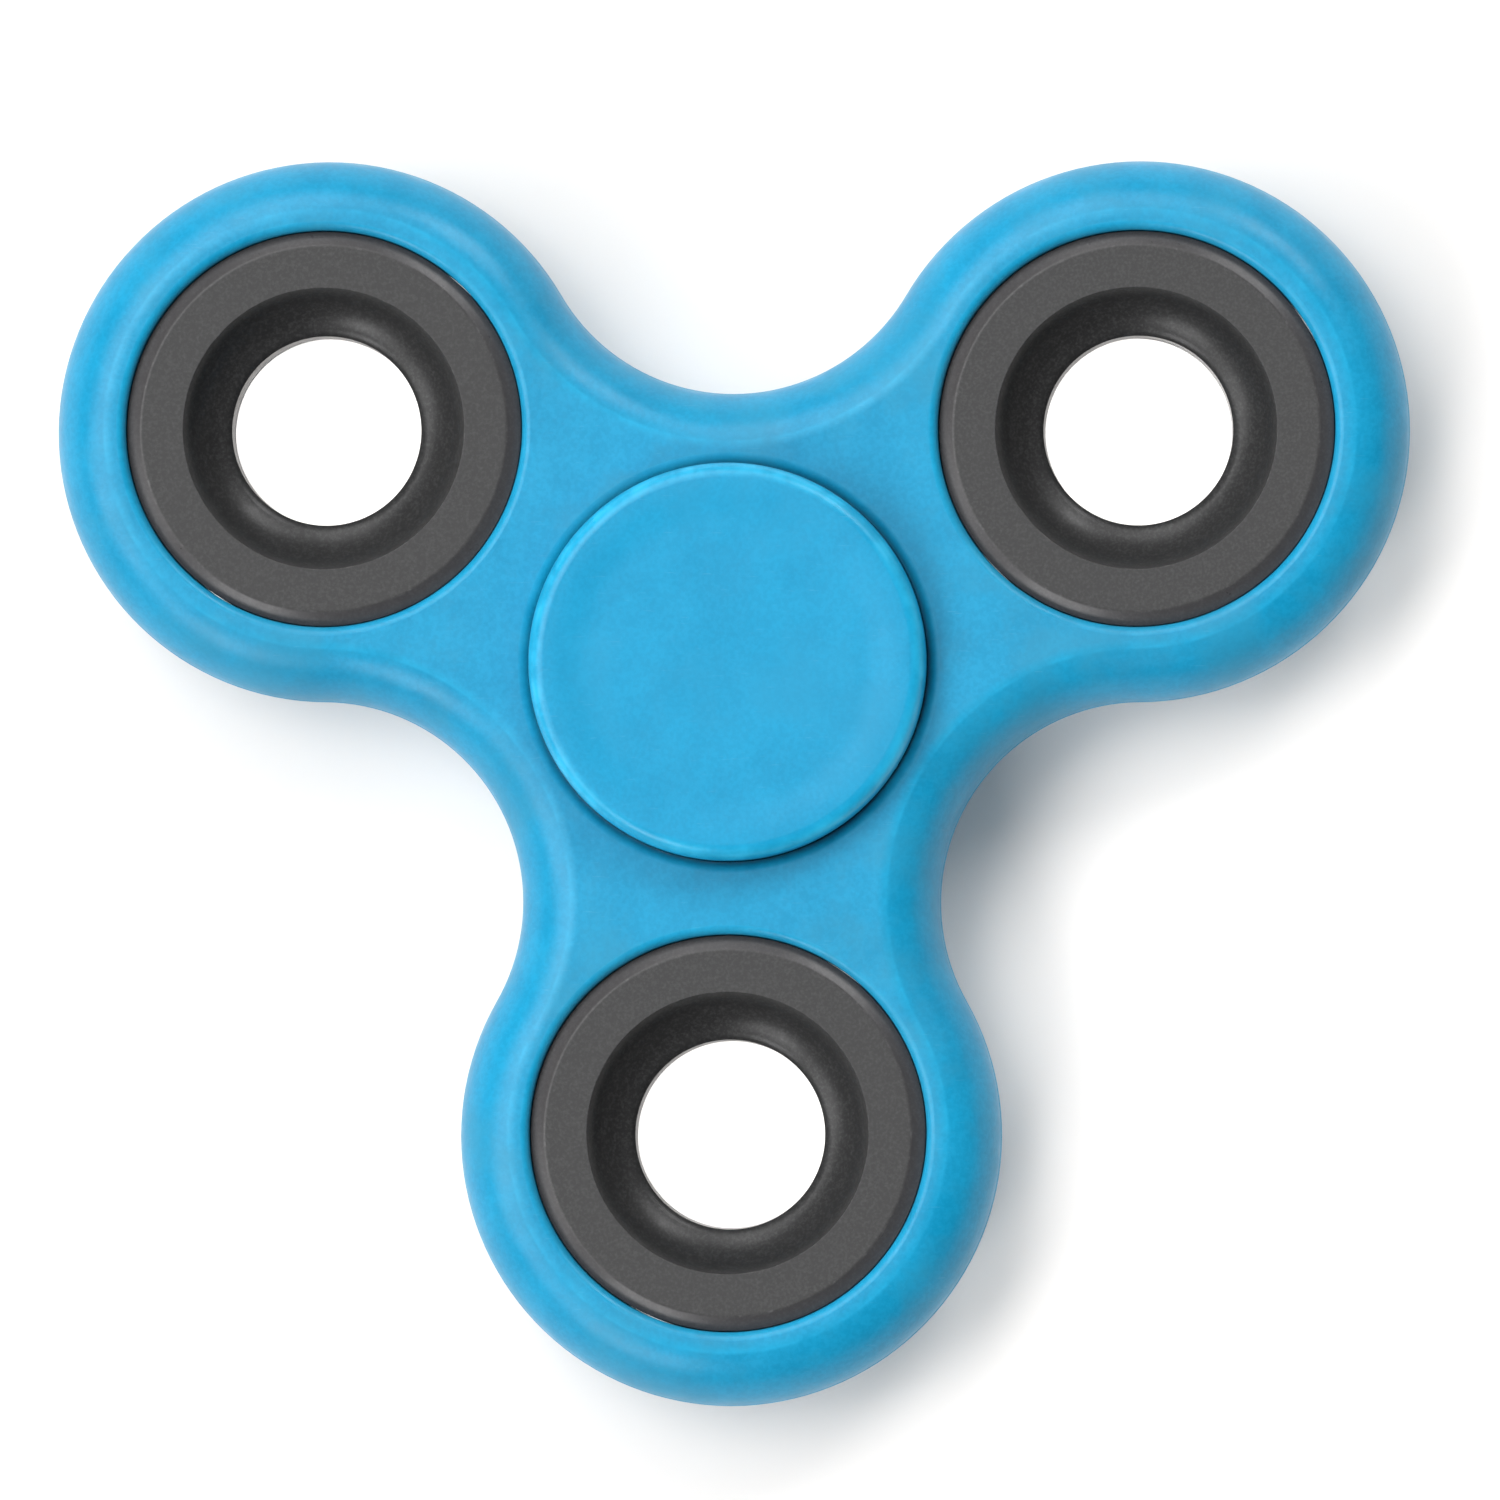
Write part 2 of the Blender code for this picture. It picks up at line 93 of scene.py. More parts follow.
# Bearing
BEARING_HALF = 3.5 * MM
BORE_RADIUS = 4.0 * MM
OUTSIDE_RADIUS = 10.95 * MM
RACE_CHAMFER = 0.3 * MM
BALLS = 7
BALL_RADIUS = 3.969 / 2 * MM
BALL_CUTS = 11
PITCH_RADIUS = 7.5 * MM
RACEWAY_CLEARANCE = 0.05 * MM
INNER_GROOVE_RADIUS = 2.06 * MM
OUTER_GROOVE_RADIUS = 2.10 * MM
GROOVE_STEPS = 12
INNER_SHOULDER_RADIUS = 6.05 * MM
OUTER_SHOULDER_RADIUS = 8.95 * MM
SEAT_RADIUS = 9.70 * MM
SEAT_FLOOR = 2.45 * MM
SEAT_MOUTH_RADIUS = 9.50 * MM
SEAT_MOUTH_HEIGHT = 3.20 * MM
SHIELD_RADIUS = 9.60 * MM
SHIELD_HOLE_RADIUS = 6.25 * MM
SHIELD_STEP_RADIUS = 8.85 * MM
SHIELD_STEP = 0.22 * MM
SHIELD_SHEET = 0.25 * MM
SHIELD_HEIGHT = 2.52 * MM
CLIP_RADIUS = 9.46 * MM
CLIP_WIRE_RADIUS = 0.16 * MM
CLIP_HEIGHT = 2.99 * MM
CLIP_OPENING = math.radians(44)
CLIP_STEPS = 120
CLIP_SIDES = 14
CLIP_END_STEPS = 4

# Ball cage
CAGE_SHEET = 0.30 * MM
CAGE_HALF_GAP = 0.02 * MM
CAGE_HALF_WIDTH = 0.85 * MM
CAGE_POCKET_CLEARANCE = 0.12 * MM
CAGE_ACROSS_STEPS = 6
CAGE_ARCH_STEPS = 28
CAGE_TAB_STEPS = 4
RIVET_RADIUS = 0.26 * MM
RIVET_HEAD_RADIUS = 0.46 * MM
RIVET_HEAD_HEIGHT = 0.17 * MM
RIVET_BULGE = 0.7  # the domed share of a head's height
RIVET_STEPS = 6

# Finger caps
CAP_RADIUS = 11.0 * MM
CAP_TOP = 6.2 * MM
CAP_UNDERSIDE = 4.2 * MM
CAP_EDGE = 0.85 * MM
CAP_UNDERCUT = 0.25 * MM
CAP_DISH_DEPTH = 0.10 * MM
CAP_DISH_RADIUS = 7.6 * MM
CAP_RIM_RADIUS = 10.0 * MM
CAP_DISH_STEPS = 12
CAP_FACE_STEPS = 8
CAP_BOSS_RADIUS = 5.5 * MM
CAP_SEAT = 3.55 * MM
CAP_SPIGOT_RADIUS = 3.95 * MM
CAP_SPIGOT_END = 0.2 * MM
CAP_CORE_RADIUS = 2.2 * MM
CAP_CORE_END = 3.9 * MM

MIDDLE_HEIGHT = sum(corner.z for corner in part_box("bearing_inner_race")) / 2

# Colours and finishes. Where three blues stand together they are the deep, bright and dusty ones.
BODY_BLUES = ((0.003, 0.238, 0.430), (0.008, 0.292, 0.512), (0.026, 0.245, 0.395))
BODY_ROUGHNESS = 0.35
CAP_BLUES = ((0.001, 0.248, 0.451), (0.004, 0.292, 0.520), (0.010, 0.262, 0.460))
CAP_ROUGHNESS = 0.34
# Lighter blue for marked edges: rubbed plastic and a painted highlight.
RUB_AND_HIGHLIGHT_BLUE = (0.030, 0.46, 0.74)
HAIRLINE_BLUE = (0.45, 0.72, 0.85)
# The darker black of the weights' recesses is painted shade.
RECESS_SHADE_BLACK = (0.021, 0.021, 0.0215)
FLAT_BLACK = (0.039, 0.039, 0.0395)
# The lighter black of the chamfers is rubbed paint and partly a painted highlight.
CHAMFER_RUB_AND_HIGHLIGHT_BLACK = (0.052, 0.049, 0.050)
SPECKLE_GREY = (0.13, 0.13, 0.13)
THIN_PAINT_GREY = (0.17, 0.17, 0.17)
GROUND_STEELS = ((0.62, 0.62, 0.63), (0.52, 0.52, 0.52))  # clean and stained
POLISHED_STEELS = ((0.78, 0.78, 0.79), (0.66, 0.65, 0.63))  # clean and smeared
ROLLED_STEELS = ((0.56, 0.56, 0.57), (0.44, 0.44, 0.43))  # clean and blotched
FLOOR_TONES = ((0.83, 0.80, 0.775), (0.85, 0.82, 0.795))
NOISE_SHIFT = 40.0  # how far the noise may differ from one object to the next
ROUND_DRIFT = 0.6 * MM  # how much the marks of turning change on the way round

# Studio
CAMERA_LEAN = math.radians(4.3)  # from straight above
CAMERA_SIDE = math.radians(-38)  # the way it leans, from +X towards +Y
CAMERA_DISTANCE = 1.6
VIEW_WIDTH = 83.1 * MM  # across the picture, at the spinner
SENSOR_WIDTH = 36.0
CAMERA_RANGE = (0.1, 50.0)  # nearest and farthest that it sees
AIM = Vector((0.97 * MM, -4.65 * MM, MIDDLE_HEIGHT))  # in the middle of the picture
FLOOR_SIZE = 40.0
FLOOR_HEIGHT = -0.01 * MM  # just clear of the cap that rests on z = 0
FLOOR_MOTTLE = 0.05  # size of its faint clouds
FLOOR_GLOW = 0.12
LOW_SKY = 1.4  # brightness of the studio along the horizon
HIGH_SKY = 0.02  # and overhead, where the camera stands
HORIZON_BAND = 0.25  # sine of the rise at which the one has become the other
HOLE_LIGHT_DISTANCE = 0.5
HOLE_LIGHT_RADIUS = 5.17 * MM  # of the disc that it lights in the middle plane
HOLE_LIGHT_POWER = 12.0
SOFT_LIGHTS = (  # name, side from +X, rise and spread in degrees, strength
    ("key", 150, 60, 36, 1.45),
    ("key_top", 150, 80, 36, 0.30),
    ("broad_back", 105, 44, 30, 1.05),
    ("broad_left", 195, 44, 30, 1.10),
    ("strip_left", 240, 38, 22, 1.15),
    ("strip_right", 60, 38, 22, 1.10),
)


# Sections and meshes


def polar(radius, angle, height=0.0):
    return Vector((radius * math.cos(angle), radius * math.sin(angle), height))


def arc(middle, radius, start, end, steps, height=None):
    """Plain section points along an arc, both ends included. A height makes it elliptical."""
    height = height or radius
    angles = [start + (end - start) * step / steps for step in range(steps + 1)]
    return [(middle[0] + radius * math.cos(a), middle[1] + height * math.sin(a), 0) for a in angles]


def both_sides(upper):
    """A ring's closed section from the half above the middle plane, bore side first."""
    return upper + [(radius, -height, rounding) for radius, height, rounding in reversed(upper)]


def corner_points(before, corner, after, rounding):
    """The points of one rounded corner as (place, edge), between two rows that keep the flats flat."""
    to_before = (before - corner).normalized()
    to_after = (after - corner).normalized()
    half = to_before.angle(to_after) / 2
    reach = rounding / math.tan(half)
    middle = corner + (to_before + to_after).normalized() * rounding / math.sin(half)
    first = corner + to_before * reach - middle
    last = corner + to_after * reach - middle
    start = math.atan2(first.y, first.x)
    turn = math.remainder(math.atan2(last.y, last.x) - start, 2 * math.pi)
    steps = max(2, math.ceil(abs(turn) / ROUND_STEP))
    points = [(corner + to_before * (reach + SUPPORT), 0.0)]
    for step in range(steps + 1):
        angle = start + turn * step / steps
        edge = math.sin(math.pi * step / steps)
        points.append((middle + Vector((math.cos(angle), math.sin(angle))) * rounding, edge))
    points.append((corner + to_after * (reach + SUPPORT), 0.0))
    return points


def rounded(section):
    """The section's points as (place, edge). The edge is 0, and rises to 1 across a rounded corner."""
    places = [Vector(item[:2]) for item in section]
    points = []
    for index, (place, item) in enumerate(zip(places, section)):
        if item[2]:
            after = places[(index + 1) % len(places)]
            points += corner_points(places[index - 1], place, after, item[2])
        else:
            points.append((place, 0.0))
    return points


def new_shape():
    """A mesh in the making, with the edge mark: worn paint on the weights, and rubbed plastic with a
    painted highlight on the blue parts.
    """
    shape = bmesh.new()
    return shape, shape.verts.layers.float.new("edge")


def add_ring(shape, mark, points, edge=0.0):
    ring = [shape.verts.new(point) for point in points]
    for vertex in ring:
        vertex[mark] = edge
    return ring


def join_rings(shape, ring, following):
    """Faces between two closed rings, or a fan where one of them is a single vertex."""
    count = max(len(ring), len(following))
    for index in range(count):
        after = (index + 1) % count
        corners = [ring[index % len(ring)], ring[after % len(ring)]]
        corners += [following[after % len(following)], following[index % len(following)]]
        shape.faces.new(dict.fromkeys(corners))


def join_all(shape, rings, closed):
    for ring, following in zip(rings, rings[1:]):
        join_rings(shape, ring, following)
    if closed:
        join_rings(shape, rings[-1], rings[0])


def finished(name, shape):
    bmesh.ops.recalc_face_normals(shape, faces=shape.faces)
    mesh = bpy.data.meshes.new(name)
    shape.to_mesh(mesh)
    shape.free()
    mesh.shade_smooth()
    mesh.set_sharp_from_angle(angle=SHARP_ANGLE)
    return mesh


def circle(radius, height, segments, middle=(0, 0, 0)):
    angles = [2 * math.pi * side / segments for side in range(segments)]
    return [Vector(middle) + polar(radius, angle, height) for angle in angles]


def turned(name, section, segments=FINE_SEGMENTS):
    """The mesh that a section makes about Z. A section that stays clear of the axis is a closed ring's."""
    shape, mark = new_shape()
    rings = []
    for place, edge in rounded(section):
        sides = segments if place.x > 0 else 1
        rings.append(add_ring(shape, mark, circle(place.x, place.y, sides), edge))
    join_all(shape, rings, closed=min(item[0] for item in section) > 0)
    return finished(name, shape)


# Body


def lobe_angles():
    return [FIRST_LOBE_ANGLE + lobe * 2 * math.pi / LOBES for lobe in range(LOBES)]


def lobe_places():
    return [polar(LOBE_DISTANCE, angle) for angle in lobe_angles()]


def waist_radius():
    """The radius of the hollow arc that touches two lobes at WAIST_DISTANCE from the spin axis."""
    along = LOBE_DISTANCE * math.cos(math.pi / LOBES)
    reach = WAIST_DISTANCE**2 + LOBE_DISTANCE**2 - 2 * WAIST_DISTANCE * along
    return (reach - LOBE_RADIUS**2) / (2 * (LOBE_RADIUS + along - WAIST_DISTANCE))


def body_outline(inset, height):
    """The outline drawn in by inset: the lobes' arcs shrink by it and the waists' arcs grow by it."""
    hollow = waist_radius()
    toward_waist = polar(WAIST_DISTANCE + hollow, math.pi / LOBES) - polar(LOBE_DISTANCE, 0)
    lobe_half = math.atan2(toward_waist.y, toward_waist.x)
    waist_half = lobe_half - math.pi / LOBES
    points = []
    for out in lobe_angles():
        middle = polar(LOBE_DISTANCE, out)
        points += arc(middle, LOBE_RADIUS - inset, out - lobe_half, out + lobe_half, LOBE_STEPS)[:-1]
        middle = polar(WAIST_DISTANCE + hollow, out + math.pi / LOBES)
        back = out + math.pi / LOBES + math.pi
        points += arc(middle, hollow + inset, back + waist_half, back - waist_half, WAIST_STEPS)[:-1]
    return [Vector((x, y, height)) for x, y, _ in points]


def body_edge():
    """The wall from the top face to the middle plane, as (inset, height, edge)."""
    side = PARTING_STEP + WALL_DRAFT
    crease_drop = CREASE * (1 - math.cos(CREASE_SLOPE))
    crease_start = side + BODY_EDGE * (1 - math.sin(CREASE_SLOPE)) + CREASE * math.sin(CREASE_SLOPE)
    rows = [(crease_start + SUPPORT, BODY_HALF, 0.0)]
    # The crease rows carry the edge mark, which the blue plastic turns into a painted highlight line.
    for step in range(CREASE_STEPS):
        tilt = CREASE_SLOPE * step / CREASE_STEPS
        height = BODY_HALF - CREASE * (1 - math.cos(tilt))
        rows.append((crease_start - CREASE * math.sin(tilt), height, 0.5 * step / CREASE_STEPS))
    for step in range(BODY_EDGE_STEPS + 1):
        tilt = CREASE_SLOPE + (math.pi / 2 - CREASE_SLOPE) * step / BODY_EDGE_STEPS
        height = BODY_HALF - crease_drop - BODY_EDGE * (math.cos(CREASE_SLOPE) - math.cos(tilt))
        rows.append((side + BODY_EDGE * (1 - math.sin(tilt)), height, 0.0))
    rows.append((PARTING_STEP, PARTING_HALF * 2, 0.0))
    rows.append((0.0, PARTING_HALF, 0.5))
    return rows


def pocket_wall(lip):
    """A pocket's wall from its mouth in the top face to the middle plane, as (radius, height, edge)."""
    reach, depth = lip
    rows = [(POCKET_RADIUS + reach + SUPPORT, BODY_HALF, 0.0)]
    # Every row of the lip carries an edge mark of 0.2: rubbed plastic and a painted highlight round the
    # pocket's mouth.
    for step in range(LIP_STEPS + 1):
        tilt = math.pi / 2 * step / LIP_STEPS
        height = BODY_HALF - depth * (1 - math.cos(tilt))
        rows.append((POCKET_RADIUS + reach * (1 - math.sin(tilt)), height, 0.2))
    return rows


def mirrored(rows):
    return rows + [(across, -height, edge) for across, height, edge in reversed(rows)]


def body_mesh():
    shape, mark = new_shape()
    rims = []
    outer = [add_ring(shape, mark, body_outline(s, z), edge) for s, z, edge in mirrored(body_edge())]
    join_all(shape, outer, closed=False)
    rims.append((outer[0], outer[-1]))
    pockets = [(Vector((0, 0, 0)), CENTRE_LIP)] + [(place, LOBE_LIP) for place in lobe_places()]
    for middle, lip in pockets:
        wall = [
            add_ring(shape, mark, circle(r, z, FINE_SEGMENTS, middle), edge)
            for r, z, edge in mirrored(pocket_wall(lip))
        ]
        join_all(shape, wall, closed=False)
        rims.append((wall[0], wall[-1]))
    for side, normal in ((0, 1), (1, -1)):
        edges = []
        for rim in rims:
            ring = rim[side]
            edges += [shape.edges.get(pair) for pair in zip(ring, ring[1:] + ring[:1])]
        bmesh.ops.triangle_fill(shape, use_beauty=True, edges=edges, normal=(0, 0, normal))
    return finished("body_moulding", shape)


# Counterweight ring


def weight_mesh():
    half = WEIGHT_HALF
    lip = WEIGHT_HOLE_RADIUS + WEIGHT_LIP
    hollow = (WEIGHT_RECESS_RADIUS - lip) / (math.sin(WEIGHT_COVE_END) - math.sin(WEIGHT_COVE_START))
    middle = (lip - hollow * math.sin(WEIGHT_COVE_START), half + hollow * math.cos(WEIGHT_COVE_END))
    start = WEIGHT_COVE_START - math.pi / 2
    end = WEIGHT_COVE_END - math.pi / 2
    cove = arc(middle, hollow, start, end, WEIGHT_COVE_STEPS)[:-1]
    upper = [(WEIGHT_HOLE_RADIUS, cove[0][1] - WEIGHT_LIP, 0.08 * MM)]
    upper += cove
    upper += [
        (WEIGHT_RECESS_RADIUS, half, 0.06 * MM),
        (WEIGHT_RADIUS - WEIGHT_CHAMFER, half, 0.35 * MM),
        (WEIGHT_RADIUS, half - WEIGHT_CHAMFER_DROP, 0.12 * MM),
    ]
    return turned("weight_ring", both_sides(upper))


# Bearing


def inner_race_mesh():
    half = BEARING_HALF
    groove_middle = PITCH_RADIUS - BALL_RADIUS - RACEWAY_CLEARANCE + INNER_GROOVE_RADIUS
    groove_start = math.acos((INNER_SHOULDER_RADIUS - groove_middle) / INNER_GROOVE_RADIUS)
    upper = [
        (BORE_RADIUS, half - RACE_CHAMFER, 0.08 * MM),
        (BORE_RADIUS + RACE_CHAMFER, half, 0.08 * MM),
        (INNER_SHOULDER_RADIUS - RACE_CHAMFER, half, 0.08 * MM),
        (INNER_SHOULDER_RADIUS, half - RACE_CHAMFER, 0.08 * MM),
    ]
    upper += arc((groove_middle, 0), INNER_GROOVE_RADIUS, groove_start, math.pi, GROOVE_STEPS)
    return turned("race_inner", upper + both_sides(upper)[len(upper) + 1 :])


def outer_race_mesh():
    half = BEARING_HALF
    groove_middle = PITCH_RADIUS + BALL_RADIUS + RACEWAY_CLEARANCE - OUTER_GROOVE_RADIUS
    groove_end = math.acos((OUTER_SHOULDER_RADIUS - groove_middle) / OUTER_GROOVE_RADIUS)
    upper = arc((groove_middle, 0), OUTER_GROOVE_RADIUS, 0, groove_end, GROOVE_STEPS)
    upper += [
        (OUTER_SHOULDER_RADIUS, SEAT_FLOOR, 0.06 * MM),
        (SEAT_RADIUS, SEAT_FLOOR, 0.05 * MM),
        (SEAT_RADIUS, SEAT_MOUTH_HEIGHT, 0.05 * MM),
        (SEAT_MOUTH_RADIUS, SEAT_MOUTH_HEIGHT, 0.05 * MM),
        (SEAT_MOUTH_RADIUS, half, 0.06 * MM),
        (OUTSIDE_RADIUS - RACE_CHAMFER, half, 0.08 * MM),
        (OUTSIDE_RADIUS, half - RACE_CHAMFER, 0.08 * MM),
    ]
    return turned("race_outer", upper + both_sides(upper)[len(upper) : -1])


def ball_mesh():
    """A cube's grid pushed out to the sphere, so that its faces are even all over."""
    shape, _ = new_shape()
    bmesh.ops.create_cube(shape, size=2)
    bmesh.ops.subdivide_edges(shape, edges=shape.edges, cuts=BALL_CUTS, use_grid_fill=True)
    for vertex in shape.verts:
        bulged = Vector([math.tan(axis * math.pi / 4) for axis in vertex.co])
        vertex.co = bulged.normalized() * BALL_RADIUS
    return finished("ball", shape)


def shield_mesh():
    low = SHIELD_HEIGHT
    high = SHIELD_HEIGHT + SHIELD_STEP
    slope = SHIELD_STEP
    section = [
        (SHIELD_HOLE_RADIUS, high + SHIELD_SHEET, 0.08 * MM),
        (SHIELD_STEP_RADIUS, high + SHIELD_SHEET, 0.20 * MM),
        (SHIELD_STEP_RADIUS + slope, low + SHIELD_SHEET, 0.12 * MM),
        (SHIELD_RADIUS, low + SHIELD_SHEET, 0.08 * MM),
        (SHIELD_RADIUS, low, 0.08 * MM),
        (SHIELD_STEP_RADIUS + slope / 2, low, 0.15 * MM),
        (SHIELD_STEP_RADIUS - slope / 2, high, 0.10 * MM),
        (SHIELD_HOLE_RADIUS, high, 0.08 * MM),
    ]
    return turned("shield", section)


def clip_mesh():
    """An open ring of round wire with domed ends."""
    shape, mark = new_shape()
    start = CLIP_OPENING / 2
    sweep = 2 * math.pi - CLIP_OPENING
    stations = [(start + sweep * step / CLIP_STEPS, CLIP_WIRE_RADIUS) for step in range(CLIP_STEPS + 1)]
    domes = []
    for step in range(1, CLIP_END_STEPS):
        lean = math.pi / 2 * step / CLIP_END_STEPS
        domes.append((CLIP_WIRE_RADIUS * math.sin(lean) / CLIP_RADIUS, CLIP_WIRE_RADIUS * math.cos(lean)))
    stations = [(start - out, radius) for out, radius in reversed(domes)] + stations
    stations += [(start + sweep + out, radius) for out, radius in domes]
    rings = []
    for angle, radius in stations:
        points = []
        for side in range(CLIP_SIDES):
            turn = 2 * math.pi * side / CLIP_SIDES
            height = CLIP_HEIGHT + radius * math.sin(turn)
            points.append(polar(CLIP_RADIUS + radius * math.cos(turn), angle, height))
        rings.append(add_ring(shape, mark, points))
    join_all(shape, rings, closed=False)
    tip = CLIP_WIRE_RADIUS / CLIP_RADIUS
    for ring, angle in ((rings[0], start - tip), (rings[-1], start + sweep + tip)):
        join_rings(shape, ring, add_ring(shape, mark, [polar(CLIP_RADIUS, angle, CLIP_HEIGHT)]))
    return finished("clip", shape)


# Ball cage


def tab_places():
    return [polar(PITCH_RADIUS, (2 * ball + 1) * math.pi / BALLS) for ball in range(BALLS)]


def ribbon_line(across, radius, floor):
    """One line of a ribbon's face over a ball: (along, height) from a tab's middle to the next tab's.

    The face is a sphere of that radius about the ball, cut off by the flat of the tabs at floor.
    """
    slice_radius = math.sqrt(radius**2 - across**2)
    low = math.asin(floor / slice_radius)
    tab = math.pi * PITCH_RADIUS / BALLS
    foot = slice_radius * math.cos(low)
    line = [(-tab + (tab - foot) * step / CAGE_TAB_STEPS, floor) for step in range(CAGE_TAB_STEPS)]
    for step in range(CAGE_ARCH_STEPS + 1):
        turn = math.pi - low - (math.pi - 2 * low) * step / CAGE_ARCH_STEPS
        line.append((slice_radius * math.cos(turn), slice_radius * math.sin(turn)))
    line += [(foot + (tab - foot) * step / CAGE_TAB_STEPS, floor) for step in range(1, CAGE_TAB_STEPS)]
    return line


def ribbon_section_points(across, radius, floor):
    points = []
    for ball in range(BALLS):
        turn = 2 * math.pi * ball / BALLS
        for along, height in ribbon_line(across, radius, floor):
            points.append(polar(PITCH_RADIUS + across, turn + along / PITCH_RADIUS, height))
    return points


def cage_half_mesh():
    """A closed ribbon: the face on the balls' side, then the outer face, joined along both rims."""
    inside = BALL_RADIUS + CAGE_POCKET_CLEARANCE
    steps = CAGE_ACROSS_STEPS
    spread = [CAGE_HALF_WIDTH * (2 * step / steps - 1) for step in range(steps + 1)]
    lines = [(across, inside, CAGE_HALF_GAP) for across in spread]
    lines += [(across, inside + CAGE_SHEET, CAGE_HALF_GAP + CAGE_SHEET) for across in reversed(spread)]
    shape, mark = new_shape()
    rings = [add_ring(shape, mark, ribbon_section_points(*line)) for line in lines]
    join_all(shape, rings, closed=True)
    return finished("cage_half", shape)


def rivet_mesh():
    under = CAGE_HALF_GAP + CAGE_SHEET
    top = under + RIVET_HEAD_HEIGHT
    bulge = RIVET_HEAD_HEIGHT * RIVET_BULGE
    dome = arc((0, top - bulge), RIVET_HEAD_RADIUS, math.pi / 2, 0, RIVET_STEPS, height=bulge)
    upper = [(0, top, 0), *dome[1:], (RIVET_HEAD_RADIUS, under, 0), (RIVET_RADIUS, under, 0)]
    section = upper + [(radius, -height, 0) for radius, height, _ in reversed(upper)]
    return turned("rivet", section, SMALL_SEGMENTS)


# Finger cap


def cap_face():
    """The top face: a flat floor that rises to the rim in a slope too slight to feel."""
    points = [(0, CAP_TOP - CAP_DISH_DEPTH, 0)]
    for step in range(1, CAP_FACE_STEPS):
        points.append((CAP_DISH_RADIUS * step / CAP_FACE_STEPS, CAP_TOP - CAP_DISH_DEPTH, 0))
    for step in range(CAP_DISH_STEPS + 1):
        part = step / CAP_DISH_STEPS
        radius = CAP_DISH_RADIUS + part * (CAP_RIM_RADIUS - CAP_DISH_RADIUS)
        points.append((radius, CAP_TOP - CAP_DISH_DEPTH * (1 + math.cos(math.pi * part)) / 2, 0))
    return points


def cap_mesh():
    section = cap_face()
    # The rounded rim's points carry the edge mark, which the blue plastic lightens as rubbed plastic and
    # painted highlight.
    section += [
        (CAP_RADIUS, CAP_TOP, CAP_EDGE),
        (CAP_RADIUS, CAP_UNDERSIDE + CAP_UNDERCUT, 0.08 * MM),
        (CAP_RADIUS - CAP_UNDERCUT, CAP_UNDERSIDE, 0.08 * MM),
        (CAP_BOSS_RADIUS, CAP_UNDERSIDE, 0.15 * MM),
        (CAP_BOSS_RADIUS, CAP_SEAT, 0.08 * MM),
        (CAP_SPIGOT_RADIUS, CAP_SEAT, 0.05 * MM),
        (CAP_SPIGOT_RADIUS, CAP_SPIGOT_END, 0.25 * MM),
        (CAP_CORE_RADIUS, CAP_SPIGOT_END, 0.08 * MM),
        (CAP_CORE_RADIUS, CAP_CORE_END, 0.08 * MM),
        (0, CAP_CORE_END, 0),
    ]
    return turned("cap", section)


# Materials


